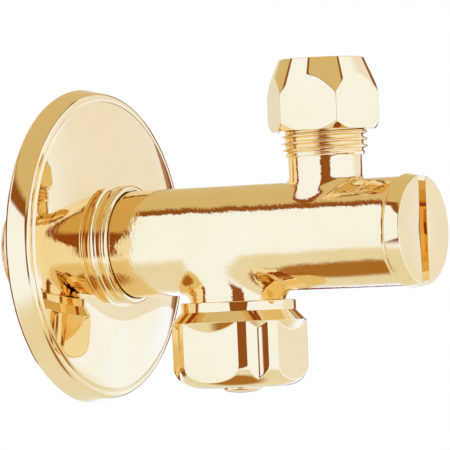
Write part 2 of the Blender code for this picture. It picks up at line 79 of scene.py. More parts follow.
INLET_END_X = BODY_LOW.x
BARREL_END_X = BODY_HIGH.x
OUTLET_TOP_Z = BODY_HIGH.z
BOSS_END_Z = BODY_LOW.z
HANDLE_X = (KNOB_LOW.x + KNOB_HIGH.x) / 2
OUTLET_X = (OLIVE_LOW.x + OLIVE_HIGH.x) / 2
KNOB_R = (KNOB_HIGH.x - KNOB_LOW.x) / 2
KNOB_TOP_Z = KNOB_HIGH.z
KNOB_BOTTOM_Z = KNOB_LOW.z
NUT_BOTTOM_Z = NUT_LOW.z
NUT_TOP_Z = NUT_HIGH.z
CAP_BACK_X = CAP_LOW.x
CAP_FRONT_X = CAP_HIGH.x
PLATE_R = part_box("rosette")[1].z
COVER_LOW_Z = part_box("handle_cover")[0].z

# Mesh fineness
ROUND = 256                         # facets round a full turn
BORE_FACETS = 96
NARROW_FACETS = 64
PASSAGE_FACETS = 48
FILLET_STEPS = 8
SHARP_DEG = 38
TURNED_SHARP_DEG = 30
FORM_SHARP_DEG = 60                 # for the threads, the nut and the knob
MERGE_DISTANCE = 2e-7

# Cast body
BARREL_R = 10.45 * MM
BARREL_EDGE_R = 0.7 * MM
BARREL_START_X = 1.2 * MM
BOSS_R = 9.25 * MM
BOSS_EDGE_R = 0.4 * MM
BOSS_FILLET = 2.6 * MM
NECK_R = 7.1 * MM
NECK_EDGE_R = 0.2 * MM
NECK_FILLET = 1.5 * MM
NECK_TOP_Z = 15.35 * MM
CAST_VOXEL = 0.36 * MM
CAST_SHARP_DEG = 50

# Drillings in the body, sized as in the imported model
CAP_BORE_R = 8.9 * MM
CAP_BORE_X = 63.0 * MM
FILTER_BORE_R = 7.4 * MM
FILTER_BORE_START_X = 44.0 * MM
INLET_BORE_R = 4.5 * MM
INLET_BORE_END_X = HANDLE_X + 3 * MM
INLET_TIP_LENGTH = 2 * MM
SEAT_BORE_R = 3.6 * MM
SEAT_BORE_TOP_Z = -2.2 * MM
SEAT_Z = -6.5 * MM
CHAMBER_R = 7.0 * MM
BONNET_SHOULDER_Z = -8.9 * MM
BONNET_BORE_R = 7.9 * MM
OUTLET_BORE_R = 4.2 * MM
OUTLET_BORE_END_Z = 5 * MM
PASSAGE_R = 1.9 * MM
PASSAGE_LENGTH = 9.84 * MM
PASSAGE_START = Vector((47.0, 0, -3.0)) * MM
PASSAGE_END = Vector((38.3, 0, -7.6)) * MM
PAST = 1 * MM                       # how far a drilling starts outside the metal

# Threads: crest radius, root radius, pitch
INLET_THREAD = (10.48 * MM, 9.32 * MM, 1.814 * MM)
OUTLET_THREAD = (8.33 * MM, 7.49 * MM, 1.337 * MM)
THREAD_FACETS = 192
ROWS_PER_PITCH = 20
CREST_SHARE = 0.14                  # of half a pitch, flat at the crest and again at the root
FLANK_ROUNDING = 0.35
RUN_IN = 0.8                        # pitches over which a thread fades in at its high end
END_HEIGHT = 0.02                   # thread height left at its low end
STUB_TIP = 1.4 * MM                 # the lead-in of the stub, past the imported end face
STUB_RUN_OUT = 0.45                 # pitches
SPOUT_RUN_OUT = 1.0
STUB_FRONT_X = 2 * MM
MOUTH_R = 6.2 * MM
PIPE_R = 5.1 * MM
OLIVE_SEAT_R = 6.1 * MM
OLIVE_SEAT_DEPTH = 1.2 * MM
SPOUT_OVERLAP = 0.25 * MM

# Rosette: a pressed plate with a shallow dome, a sleeve and a rolled bead
PLATE_RIM_STEP = 0.2 * MM
PLATE_RIM_R = 0.5 * MM
PLATE_WALL_DRAFT = 1.0 * MM
PLATE_SHOULDER_R = 1.1 * MM
PLATE_EDGE_R = 28.8 * MM
PLATE_DOME_R = 60.0 * MM
PLATE_GROOVE_HALF = 0.35 * MM
PLATE_GROOVE_DEPTH = 0.22 * MM
PLATE_SHEET = 0.6 * MM
PLATE_FACETS = 384
DOME_STEPS = 60
SLEEVE_R = 11.05 * MM
SLEEVE_BORE_R = 10.65 * MM
SLEEVE_FOOT_X = 7.3 * MM
SLEEVE_FOOT_FILLET = 1.1 * MM
DOME_END_R = SLEEVE_R + 2 * MM
BEAD_X = 9.8 * MM
BEAD_TOP_R = 11.65 * MM
BEAD_HALF = 0.95 * MM
BEAD_START_DEG = -58
BEAD_SWEEP_DEG = 148
BEAD_STEPS = 14

# Nut
NUT_ACROSS = 19.4 * MM
NUT_TOP_R = 8.2 * MM
NUT_CONE_SLOPE = 0.43
NUT_CHAMFER = 1.2 * MM
NUT_CHAMFER_SLOPE = 0.85
NUT_CORNER_DEG = -48.5
NUT_SOFTNESS = 0.045 * MM
NUT_LIP = 0.12 * MM
NUT_ROWS = 150
NUT_BORE = [(8.9 * MM, NUT_BOTTOM_Z), (8.65 * MM, NUT_BOTTOM_Z + 0.5 * MM), (8.65 * MM, 27.9 * MM),
            (8.0 * MM, 27.9 * MM), (5.35 * MM, 30.6 * MM), (5.35 * MM, NUT_TOP_Z - 0.3 * MM),
            (5.65 * MM, NUT_TOP_Z)]

# Knob
KNOB_RING_R = 11.2 * MM
KNOB_RING_Z = -13.9 * MM
KNOB_RIM_Z = -15.9 * MM
KNOB_WALL_STEP = 0.12               # mm between the wall's rows
KNOB_ROUND_R = 4.2 * MM
KNOB_ROUND_STEPS = 40
KNOB_FLAT_R = 11.7 * MM
KNOB_GROOVE_R = 12.05 * MM
KNOB_GROOVE_HALF = math.radians(9)
KNOB_GROOVE_BLUNT = 0.01
KNOB_SHOULDER_SLOPE = 0.76
KNOB_SOFTNESS = 0.04 * MM
KNOB_CAVITY_R = 9.6 * MM
KNOB_FINE_DEG = (-26.7, 26.7, 36, 54)   # where flats and grooves meet the turned wall, in each quarter
KNOB_INSIDE = [(3.3 * MM, KNOB_BOTTOM_Z), (3.3 * MM, -27.0 * MM), (1.7 * MM, -27.0 * MM),
               (1.7 * MM, -26.4 * MM), (3.0 * MM, -26.4 * MM), (3.0 * MM, -23.0 * MM),
               (5.2 * MM, -23.0 * MM), (5.2 * MM, -25.5 * MM), (8.6 * MM, -25.5 * MM),
               (KNOB_CAVITY_R, -24.5 * MM)]

# Cover plug in the knob's end
COVER_RIM_Z = KNOB_BOTTOM_Z - 0.05 * MM
COVER_RIM_R = 3.8 * MM
COVER_RIM_HEIGHT = 0.25 * MM
COVER_STEM_R = 3.0 * MM
COVER_STEM_TOP_Z = -28.3 * MM
COVER_STEPS = 16

# Cap
CAP_HEAD_BACK_X = BARREL_END_X + 0.12 * MM
CAP_FRONT_R = 10.45 * MM
CAP_BACK_R = 10.9 * MM
CAP_SPIGOT_R = 8.5 * MM
CAP_SEAL_GROOVE_R = 7.65 * MM
CAP_SEAL_FRONT_X = 70.9 * MM
CAP_SEAL_BACK_X = 69.6 * MM
CAP_INSIDE_R = 6.8 * MM
CAP_SLOT_HALF = 1.5 * MM
CAP_SLOT_DEPTH = 2.3 * MM
CAP_SLOT_REACH = 13 * MM
CAP_BEVEL = 0.1 * MM

# Finishes. Noise scales are in features per metre.
GOLD_TINT = (0.96, 0.75, 0.4)
GOLD_DRIFT = (0.985, 0.955, 0.88)
TONE_SCALE = 90.0
WIPE_SCALE = 420.0
DRIFT_SCALE = 160.0
GLOSS_SCALE = 900.0

# Studio: angles in degrees round it from its front, heights in degrees above the horizon. Each reach is a
# distance across the floor from the painted shadow under the knob, in metres, with the width over which
# the tone changes.
STUDIO_YAW = math.radians(29.4)     # the studio's front, as an angle from -Y towards +X
LIGHT_COOL = (0.98, 1.2, 1.88)
LIGHT_SOFT = (0.9, 0.98, 1.2)
# The paper colour is light off the studio's paper below the ceiling, and on the floor a painted glow
LIT_PAPER = (0.84, 0.88, 0.9)
CEILING = (0.7, 0.6, 0.38)
GAP_DARK = (0.3, 0.1, 0.022)
# The floor's painted shadow under the knob, seen in reflections
FLOOR_SHADE = (0.42, 0.2, 0.05)
WHITE = (1.0, 1.0, 1.0, 1.0)
GAP_LEFT, GAP_RIGHT = -15.0, 13.0
GAP_LEFT_LEAN, GAP_TOP = 0.65, 24.0
BANK_LEFT, BANK_RIGHT, BANK_TOP = -97.0, 144.0, 49.5
FRAME_WIDTH, FRAME_TOP = 7.0, 57.0
FRAME_LEFT, FRAME_RIGHT = -104.0, 146.0
BOARDS = ((146.0, 164.0), (-115.0, -97.0))
# The floor boards are bands of painted shade on the floor, in line with the studio's dark boards
FLOOR_BOARD_SHADE = ((146.0, 164.0, 4.0), (-125.0, -85.0, 6.0))
CEILING_START = 16.0
FADE_START, FADE_WIDTH = 100.0, 30.0
FLOOR_R = 0.6
FLOOR_DROP = 22 * MM                # from the lowest point of the valve
FLOOR_FACETS = 96
# Middle of the shadow painted on the floor under the knob
SHADE_X, SHADE_Y = HANDLE_X + 3 * MM, -16 * MM
SHADE_REACH, GLOW_REACH, GAP_REACH, BOARD_REACH = (0.02, 0.012), (0.075, 0.04), (0.12, 0.08), (0.075, 0.03)

# Camera: angles in radians, the wall mount's place in its view in mm, the lens in sensor widths
CAMERA_YAW = 0.5124
CAMERA_PITCH = -0.0186
CAMERA_ROLL = -0.0414
CAMERA_SHIFT = (-26.91, -4.285, 984.5)
CAMERA_FOCAL = 5000.0 / 450
SENSOR_MM = 36.0


# Mesh tools

def link_mesh(name, points, faces, sharp_deg=SHARP_DEG):
    """A named object from points and faces, closed and facing out, smooth except at its sharp edges."""
    data = bpy.data.meshes.new(name)
    data.from_pydata([tuple(p) for p in points], [], [tuple(f) for f in faces])
    work = bmesh.new()
    work.from_mesh(data)
    bmesh.ops.remove_doubles(work, verts=work.verts, dist=MERGE_DISTANCE)
    bmesh.ops.recalc_face_normals(work, faces=work.faces)
    work.to_mesh(data)
    work.free()
    data.shade_smooth()
    data.set_sharp_from_angle(angle=math.radians(sharp_deg))
    obj = bpy.data.objects.new(name, data)
    bpy.context.scene.collection.objects.link(obj)
    return obj


def rounded(outline):
    """A closed outline whose points may carry a fillet radius as a third number."""
    result = []
    count = len(outline)
    for i, point in enumerate(outline):
        here = Vector(point[:2])
        if len(point) < 3:
            result.append(tuple(here))
            continue
        before = (Vector(outline[i - 1][:2]) - here).normalized()
        after = (Vector(outline[(i + 1) % count][:2]) - here).normalized()
        half = before.angle(after) / 2
        centre = here + (before + after).normalized() * (point[2] / math.sin(half))
        start = here + before * (point[2] / math.tan(half)) - centre
        end = here + after * (point[2] / math.tan(half)) - centre
        swing = start.angle_signed(end)
        for step in range(FILLET_STEPS + 1):
            a = -swing * step / FILLET_STEPS
            turned_arm = Vector((start.x * math.cos(a) - start.y * math.sin(a),
                                 start.x * math.sin(a) + start.y * math.cos(a)))
            result.append(tuple(centre + turned_arm))
    return result


def loop_solid(name, loops, turns, place, sharp_deg=SHARP_DEG):
    """Joins closed loops of (radius, height) arrays, one value per turn angle, into a ring-shaped solid.

    A loop whose radii are all zero becomes one point on the axis. place turns radius, angle and height
    into a point.
    """
    points = []
    rows = []
    for radii, heights in loops:
        if np.max(radii) < 1e-8:
            rows.append([len(points)] * len(turns))
            points.append(place(0.0, 0.0, heights[0]))
            continue
        rows.append(list(range(len(points), len(points) + len(turns))))
        points += [place(r, a, h) for r, a, h in zip(radii, turns, heights)]
    faces = []
    for first, second in zip(rows, rows[1:] + rows[:1]):
        for i in range(len(turns)):
            j = (i + 1) % len(turns)
            corners = list(dict.fromkeys((first[i], first[j], second[j], second[i])))
            if len(corners) > 2:
                faces.append(corners)
    return link_mesh(name, points, faces, sharp_deg)


def along_x():
    """Places a turned form about the inlet's axis, its angle from +Y towards +Z."""
    def place(r, a, h):
        return h, r * math.cos(a), r * math.sin(a)
    return place


def along_z(x):
    """Places a turned form about the upright axis at x."""
    def place(r, a, h):
        return x + r * math.cos(a), r * math.sin(a), h
    return place


def fixed_loops(outline, count):
    """Loops that are true circles, one for each (radius, height)."""
    return [(np.full(count, r), np.full(count, h)) for r, h in outline]


def lathe(name, outline, place, facets, sharp_deg=SHARP_DEG):
    """Turns a closed outline of (radius, height[, fillet]) about the axis of place."""
    turns = [TURN * i / facets for i in range(facets)]
    return loop_solid(name, fixed_loops(rounded(outline), facets), turns, place, sharp_deg)


def cut_with(obj, cutter):
    """Cuts one closed mesh from another and keeps the result as plain mesh."""
    modifier = obj.modifiers.new("cut", "BOOLEAN")
    modifier.operation = "DIFFERENCE"
    modifier.solver = "EXACT"
    modifier.object = cutter
    settle(obj)
    bpy.data.objects.remove(cutter)


def settle(obj):
    """Replaces an object's mesh by what its modifiers make of it."""
    bpy.context.view_layer.update()
    graph = bpy.context.evaluated_depsgraph_get()
    data = bpy.data.meshes.new_from_object(obj.evaluated_get(graph))
    obj.modifiers.clear()
    obj.data = data


def bevel(obj, width, angle_deg):
    """Breaks the edges that are sharper than the given angle."""
    modifier = obj.modifiers.new("edges", "BEVEL")
    modifier.width = width
    modifier.segments = 2
    modifier.limit_method = "ANGLE"
    modifier.angle_limit = math.radians(angle_deg)
    modifier.harden_normals = False
    modifier.use_clamp_overlap = True
    settle(obj)
    obj.data.shade_smooth()


def add_piece(obj, body, slot, material, *nodes):
    """Gives a piece its finish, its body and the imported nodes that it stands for."""
    obj.data.materials.clear()
    obj.data.materials.append(material)
    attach(obj, body)
    if nodes:
        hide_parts(*nodes)
    return obj


# Materials

def new_material(name):
    """A node material, with its nodes and links."""
    material = bpy.data.materials.new(name)
    material.use_nodes = True
    return material, material.node_tree.nodes, material.node_tree.links


def noise(nodes, links, scale, detail, source):
    """Noise in the object's own coordinates, with features of about 1 / scale metres."""
    node = nodes.new("ShaderNodeTexNoise")
    node.inputs["Scale"].default_value = scale
    node.inputs["Detail"].default_value = detail
    links.new(source.outputs["Object"], node.inputs["Vector"])
    return node


def ramp(nodes, links, source, low, high, start, end):
    """Spreads a noise's middle values from start to end."""
    node = nodes.new("ShaderNodeMapRange")
    node.inputs["From Min"].default_value = low
    node.inputs["From Max"].default_value = high
    node.inputs["To Min"].default_value = start
    node.inputs["To Max"].default_value = end
    links.new(source, node.inputs["Value"])
    return node.outputs["Result"]


def plated(name, roughness, peel_scale, peel_height, wave_scale, wave_height):
    """Polished gold plate: mirror-like, with faint wiping marks, fine peel and long shallow waves."""
    material, nodes, links = new_material(name)
    shader = nodes["Principled BSDF"]
    shader.inputs["Metallic"].default_value = 1.0
    where = nodes.new("ShaderNodeTexCoord")
    tone = noise(nodes, links, TONE_SCALE, 3.0, where)
    colour = nodes.new("ShaderNodeMix")
    colour.data_type = "RGBA"
    colour.inputs["A"].default_value = (*GOLD_TINT, 1.0)
    colour.inputs["B"].default_value = (*[c * d for c, d in zip(GOLD_TINT, GOLD_DRIFT)], 1.0)
    links.new(ramp(nodes, links, tone.outputs["Fac"], 0.35, 0.7, 0.0, 1.0), colour.inputs["Factor"])
    links.new(colour.outputs["Result"], shader.inputs["Base Color"])
    wipe = noise(nodes, links, WIPE_SCALE, 6.0, where)
    links.new(ramp(nodes, links, wipe.outputs["Fac"], 0.3, 0.75, roughness * 0.7, roughness * 1.5),
              shader.inputs["Roughness"])
    peel = noise(nodes, links, peel_scale, 2.0, where)
    fine = nodes.new("ShaderNodeBump")
    fine.inputs["Strength"].default_value = 1.0
    fine.inputs["Distance"].default_value = peel_height
    links.new(peel.outputs["Fac"], fine.inputs["Height"])
    waves = noise(nodes, links, wave_scale, 1.0, where)
    long = nodes.new("ShaderNodeBump")
    long.inputs["Strength"].default_value = 1.0
    long.inputs["Distance"].default_value = wave_height
    links.new(waves.outputs["Fac"], long.inputs["Height"])
    links.new(fine.outputs["Normal"], long.inputs["Normal"])
    links.new(long.outputs["Normal"], shader.inputs["Normal"])
    return material


def machined(name, tint, metallic, roughness, grain_scale, grain_height):
    """A plain part's finish: slight colour drift, uneven gloss and a fine surface grain."""
    material, nodes, links = new_material(name)
    shader = nodes["Principled BSDF"]
    shader.inputs["Metallic"].default_value = metallic
    where = nodes.new("ShaderNodeTexCoord")
    drift = noise(nodes, links, DRIFT_SCALE, 3.0, where)
    colour = nodes.new("ShaderNodeMix")
    colour.data_type = "RGBA"
    colour.inputs["A"].default_value = (*tint, 1.0)
    colour.inputs["B"].default_value = (*[c * 0.8 for c in tint], 1.0)
    links.new(ramp(nodes, links, drift.outputs["Fac"], 0.3, 0.7, 0.0, 1.0), colour.inputs["Factor"])
    links.new(colour.outputs["Result"], shader.inputs["Base Color"])
    gloss = noise(nodes, links, GLOSS_SCALE, 2.0, where)
    links.new(ramp(nodes, links, gloss.outputs["Fac"], 0.3, 0.7, roughness * 0.8, roughness * 1.3),
              shader.inputs["Roughness"])
    grain = noise(nodes, links, grain_scale, 2.0, where)
    bump = nodes.new("ShaderNodeBump")
    bump.inputs["Strength"].default_value = 1.0
    bump.inputs["Distance"].default_value = grain_height
    links.new(grain.outputs["Fac"], bump.inputs["Height"])
    links.new(bump.outputs["Normal"], shader.inputs["Normal"])
    return material


# Body

def fillet_union(a, b, radius):
    """Distance to two joined forms, with a hollow fillet of that radius where they meet."""
    inner = np.maximum(radius, np.minimum(a, b))
    return inner - np.hypot(np.maximum(radius - a, 0), np.maximum(radius - b, 0))


def round_bar(off_axis, along, radius, low, high, edge):
    """Distance to a bar of that radius between low and high, with rounded end edges."""
    side = off_axis - radius + edge
    end = np.abs(along - (low + high) / 2) - (high - low) / 2 + edge
    outside = np.hypot(np.maximum(side, 0), np.maximum(end, 0))
    return outside + np.minimum(np.maximum(side, end), 0) - edge


def casting_distance(p):
    """Distance to the cast body: barrel, knob boss and outlet neck, blended."""
    x, y, z = p[:, 0], p[:, 1], p[:, 2]
    barrel = round_bar(np.hypot(y, z), x, BARREL_R, BARREL_START_X, BARREL_END_X, BARREL_EDGE_R)
    boss = round_bar(np.hypot(x - HANDLE_X, y), z, BOSS_R, BOSS_END_Z, 0, BOSS_EDGE_R)
    neck = round_bar(np.hypot(x - OUTLET_X, y), z, NECK_R, 0, NECK_TOP_Z, NECK_EDGE_R)
    return fillet_union(fillet_union(barrel, boss, BOSS_FILLET), neck, NECK_FILLET)


def pull_to_surface(points, distance, rounds):
    """Moves points along the gradient until they lie where the distance is zero."""
    step = 1e-6
    for _ in range(rounds):
        d = distance(points)
        slope = np.stack([(distance(points + step * axis) - d) / step for axis in np.eye(3)], axis=1)
        size = np.maximum((slope**2).sum(1), 0.2)
        points = points - slope * (d / size)[:, None]
    return points


def make_casting(material):
    """The cast body: three bars merged on a fine grid, then laid exactly on the blended form."""
    work = bmesh.new()
    bars = [((BARREL_START_X, 0, 0), (BARREL_END_X, 0, 0), BARREL_R),
            ((HANDLE_X, 0, BOSS_END_Z), (HANDLE_X, 0, 0), BOSS_R),
            ((OUTLET_X, 0, 0), (OUTLET_X, 0, NECK_TOP_Z), NECK_R)]
    for start, end, radius in bars:
        start, end = Vector(start), Vector(end)
        turn = (end - start).to_track_quat("Z", "Y").to_matrix().to_4x4()
        turn.translation = (start + end) / 2
        bmesh.ops.create_cone(work, cap_ends=True, segments=BORE_FACETS, radius1=radius, radius2=radius,
                              depth=(end - start).length, matrix=turn)
    data = bpy.data.meshes.new("valve_body_casting")
    work.to_mesh(data)
    work.free()
    casting = bpy.data.objects.new("valve_body_casting", data)
    bpy.context.scene.collection.objects.link(casting)
    grid = casting.modifiers.new("grid", "REMESH")
    grid.mode = "VOXEL"
    grid.voxel_size = CAST_VOXEL
    settle(casting)
    relax(casting.data)
    for bore in make_bores():
        cut_with(casting, bore)
    casting.data.shade_smooth()
    casting.data.set_sharp_from_angle(angle=math.radians(CAST_SHARP_DEG))
    return add_piece(casting, "body", "gold_cast", material, "valve_body")


def make_bores():
    """The drillings inside the cast body, from the inlet past the seat to the filter and the outlet."""
    past_end_x = BARREL_END_X + PAST
    below_z = BOSS_END_Z - PAST
    past_neck_z = NECK_TOP_Z + PAST
    tip_x = INLET_BORE_END_X - INLET_TIP_LENGTH
    inlet = [(0, INLET_BORE_END_X), (INLET_BORE_R, tip_x), (INLET_BORE_R, 0), (0, 0)]
    filter_side = [(0, past_end_x), (CAP_BORE_R, past_end_x), (CAP_BORE_R, CAP_BORE_X),
                   (FILTER_BORE_R, CAP_BORE_X), (FILTER_BORE_R, FILTER_BORE_START_X),
                   (0, FILTER_BORE_START_X)]
    head = [(0, SEAT_BORE_TOP_Z), (SEAT_BORE_R, SEAT_BORE_TOP_Z), (SEAT_BORE_R, SEAT_Z),
            (CHAMBER_R, SEAT_Z), (CHAMBER_R, BONNET_SHOULDER_Z), (BONNET_BORE_R, BONNET_SHOULDER_Z),
            (BONNET_BORE_R, below_z), (0, below_z)]
    outlet = [(0, past_neck_z), (OUTLET_BORE_R, past_neck_z), (OUTLET_BORE_R, OUTLET_BORE_END_Z),
              (0, OUTLET_BORE_END_Z)]
    slanting = [(0, PASSAGE_LENGTH), (PASSAGE_R, PASSAGE_LENGTH), (PASSAGE_R, 0), (0, 0)]
    return [lathe("inlet_bore", inlet, along_x(), NARROW_FACETS),
            lathe("filter_bore", filter_side, along_x(), BORE_FACETS),
            lathe("headwork_bore", head, along_z(HANDLE_X), BORE_FACETS),
            lathe("outlet_bore", outlet, along_z(OUTLET_X), NARROW_FACETS),
            lathe("passage_bore", slanting, along_slant(), PASSAGE_FACETS)]


def along_slant():
    """Places a turned form on the slanting drilling between the filter bore and the seat chamber."""
    axis = (PASSAGE_END - PASSAGE_START).normalized()
    across = axis.cross(Vector((0, 1, 0)))

    def place(r, a, h):
        point = PASSAGE_START + axis * h + across * (r * math.cos(a))
        return point.x, point.y + r * math.sin(a), point.z
    return place


def relax(mesh):
    """Evens out the points and puts them back on the blended form, a few times over."""
    count = len(mesh.vertices)
    points = np.empty(count * 3)
    mesh.vertices.foreach_get("co", points)
    points = points.reshape(-1, 3)
    ends = np.empty(len(mesh.edges) * 2, int)
    mesh.edges.foreach_get("vertices", ends)
    ends = ends.reshape(-1, 2)
    degree = np.bincount(ends.ravel(), minlength=count)[:, None]
    for _ in range(4):
        total = np.zeros_like(points)
        np.add.at(total, ends[:, 0], points[ends[:, 1]])
        np.add.at(total, ends[:, 1], points[ends[:, 0]])
        points = 0.5 * points + 0.5 * total / degree
        points = pull_to_surface(points, casting_distance, 3)
    points = pull_to_surface(points, casting_distance, 5)
    mesh.vertices.foreach_set("co", points.ravel())
    mesh.update()


# Threads

def thread_height(phase):
    """Height of a pipe thread's flank, 0 at the root and 1 at the crest, over one pitch."""
    from_crest = np.abs((phase % 1.0) - 0.5) * 2
    height = np.clip((1 - CREST_SHARE - from_crest) / (1 - 2 * CREST_SHARE), 0.0, 1.0)
    return height * height * (3 - 2 * height) * FLANK_ROUNDING + height * (1 - FLANK_ROUNDING)


def thread_solid(name, thread, low, high, inner, place, run_out):
    """A bar with a right-hand helical thread outside and the given outline of (radius, height) inside.

    run_out is the number of pitches over which the thread fades out at its low end.
    """
    crest, root, pitch = thread
    turns = np.array([TURN * i / THREAD_FACETS for i in range(THREAD_FACETS)])
    rows = int((high - low) / pitch * ROWS_PER_PITCH)
    loops = []
    for row in range(rows + 1):
        h = high + (low - high) * row / rows
        phase = h / pitch - turns / TURN
        fade = min((high - h) / (RUN_IN * pitch), (h - low) / (run_out * pitch) + END_HEIGHT, 1.0)
        radii = root + (crest - root) * thread_height(phase) * max(fade, 0.0)
        loops.append((radii, np.full(THREAD_FACETS, h)))
    loops += fixed_loops(inner, THREAD_FACETS)
    return loop_solid(name, loops, list(turns), place, FORM_SHARP_DEG)


def make_threads(material):
    """The threaded wall stub and the threaded outlet spout, each hollow."""
    end = INLET_END_X - STUB_TIP
    inner = [(MOUTH_R + 0.2 * MM, end), (MOUTH_R, end + 0.2 * MM), (MOUTH_R, end + 3 * MM),
             (INLET_BORE_R, end + 4 * MM), (INLET_BORE_R, STUB_FRONT_X)]
    stub = thread_solid("valve_body_inlet_thread", INLET_THREAD, end, STUB_FRONT_X, inner,
                        along_x(), STUB_RUN_OUT)
    add_piece(stub, "body", "gold_cast", material, "valve_body")
    low = NECK_TOP_Z - SPOUT_OVERLAP
    inner = [(PIPE_R, low), (PIPE_R, OUTLET_TOP_Z - OLIVE_SEAT_DEPTH), (OLIVE_SEAT_R, OUTLET_TOP_Z)]
    spout = thread_solid("valve_body_outlet_thread", OUTLET_THREAD, low, OUTLET_TOP_Z, inner,
                         along_z(OUTLET_X), SPOUT_RUN_OUT)
    add_piece(spout, "body", "gold_cast", material, "valve_body")


# Rosette

def dome_x(r):
    """Height of the plate's shallow dome, which is highest at the sleeve."""
    return SLEEVE_FOOT_X - (r - SLEEVE_R) ** 2 / (2 * PLATE_DOME_R)


def rosette_outline():
    """Section of the pressed plate, its sleeve and the rolled bead, outside first."""
    wall_r = PLATE_R - PLATE_WALL_DRAFT
    groove_r = PLATE_EDGE_R - PLATE_GROOVE_HALF
    dome_r = groove_r - PLATE_GROOVE_HALF
    dome = [dome_r + (DOME_END_R - dome_r) * i / DOME_STEPS for i in range(DOME_STEPS + 1)]
    outside = [(PLATE_R - PLATE_RIM_STEP, 0), (PLATE_R, PLATE_RIM_R, PLATE_RIM_R),
               (wall_r, dome_x(wall_r), PLATE_SHOULDER_R),
               (PLATE_EDGE_R, dome_x(PLATE_EDGE_R), 0.3 * MM),
               (groove_r, dome_x(groove_r) - PLATE_GROOVE_DEPTH, 0.1 * MM)]
    outside += [(r, dome_x(r)) for r in dome]
    outside += [(SLEEVE_R, SLEEVE_FOOT_X, SLEEVE_FOOT_FILLET), (SLEEVE_R, BEAD_X - 0.9 * MM, 0.12 * MM)]
    bead_turns = [math.radians(BEAD_START_DEG + BEAD_SWEEP_DEG * i / BEAD_STEPS)
                  for i in range(BEAD_STEPS + 1)]
    bead = [(BEAD_TOP_R - BEAD_HALF + BEAD_HALF * math.cos(a), BEAD_X + BEAD_HALF * math.sin(a))
            for a in bead_turns]
    inside = [(SLEEVE_BORE_R, BEAD_X + BEAD_HALF, 0.15 * MM), (SLEEVE_BORE_R, SLEEVE_FOOT_X - PLATE_SHEET)]
    inside += [(r, dome_x(r) - PLATE_SHEET) for r in reversed(dome[:-1:6])]
    inside += [(PLATE_EDGE_R, dome_x(PLATE_EDGE_R) - PLATE_SHEET), (PLATE_R - PLATE_SHEET, 0.8 * MM),
               (PLATE_R - PLATE_RIM_STEP - PLATE_SHEET, 0)]
    return outside + bead + inside


def make_rosette(material):
    """The pressed wall rosette, turned in one piece."""
    plate = lathe("rosette_plate", rosette_outline(), along_x(), PLATE_FACETS, TURNED_SHARP_DEG)
    return add_piece(plate, "rosette", "gold_polished", material, "rosette")


# Nut

def soft_min(values, softness):
    """The smallest of several arrays, with the change-over rounded."""
    values = np.array(values)
    least = values.min(0)
    return least - softness * np.log(np.exp(-(values - least) / softness).sum(0))


def soft_max(values, softness):
    """The largest of several arrays, with the change-over rounded."""
    return -soft_min([-v for v in values], softness)


def fine_near(marks, spread_deg, fine_deg, coarse_deg):
    """Angles round a full turn: closely spaced near the marked ones, coarser between."""
    turns = []
    a = 0.0
    while a < 360 - 1e-9:
        near = min(abs((a - m + 180) % 360 - 180) for m in marks) < spread_deg
        turns.append(math.radians(a))
        a += fine_deg if near else coarse_deg
    return np.array(turns)


def make_nut(material):
    """Hexagon with a chamfer below and a long cone above, its edges softly broken by polishing."""
    flat_r = NUT_ACROSS / 2
    corner_r = flat_r / math.cos(math.pi / 6)
    corners = [NUT_CORNER_DEG + 60 * i for i in range(6)]
    turns = fine_near(corners, spread_deg=4.0, fine_deg=0.2, coarse_deg=1.0)
    planes = [flat_r / np.maximum(np.cos(turns - math.radians(c + 30)), 0.2) for c in corners]
    count = len(turns)
    loops = []
    for row in range(NUT_ROWS + 1):
        z = NUT_TOP_Z - (NUT_TOP_Z - NUT_BOTTOM_Z) * row / NUT_ROWS
        cone = np.full(count, NUT_TOP_R + NUT_CONE_SLOPE * (NUT_TOP_Z - z))
        chamfer = np.full(count, corner_r - NUT_CHAMFER + (z - NUT_BOTTOM_Z) * NUT_CHAMFER_SLOPE)
        loops.append((soft_min(planes + [cone, chamfer], NUT_SOFTNESS), np.full(count, z)))
    loops.insert(0, (loops[0][0] - NUT_LIP, np.full(count, NUT_TOP_Z)))
    loops[1] = (loops[1][0], np.full(count, NUT_TOP_Z - NUT_LIP))
    loops.append((loops[-1][0] - NUT_LIP, loops[-1][1]))
    loops += fixed_loops(NUT_BORE, count)
    nut = loop_solid("compression_nut_hexagon", loops, list(turns), along_z(OUTLET_X), FORM_SHARP_DEG)
    return add_piece(nut, "nut", "gold_polished", material, "compression_nut")


# Knob

def knob_profile():
    """The knob's outside as turned, from its top ring to the middle of its end."""
    wall_end_z = KNOB_BOTTOM_Z + KNOB_ROUND_R
    middle_r = KNOB_R - KNOB_ROUND_R
    outline = [(KNOB_CAVITY_R, KNOB_TOP_Z, 0.1 * MM), (KNOB_RING_R, KNOB_TOP_Z, 0.2 * MM),
               (KNOB_RING_R, KNOB_RING_Z, 0.15 * MM), (KNOB_R, KNOB_RIM_Z, 0.25 * MM)]
    outline += [(KNOB_R, z * MM) for z in np.arange(-16.2, wall_end_z / MM, -KNOB_WALL_STEP)]
    for step in range(KNOB_ROUND_STEPS + 1):
        a = math.radians(90 * step / KNOB_ROUND_STEPS)
        outline.append((middle_r + KNOB_ROUND_R * math.cos(a), wall_end_z - KNOB_ROUND_R * math.sin(a)))
    return outline + [(middle_r * share, KNOB_BOTTOM_Z) for share in (0.75, 0.5)]


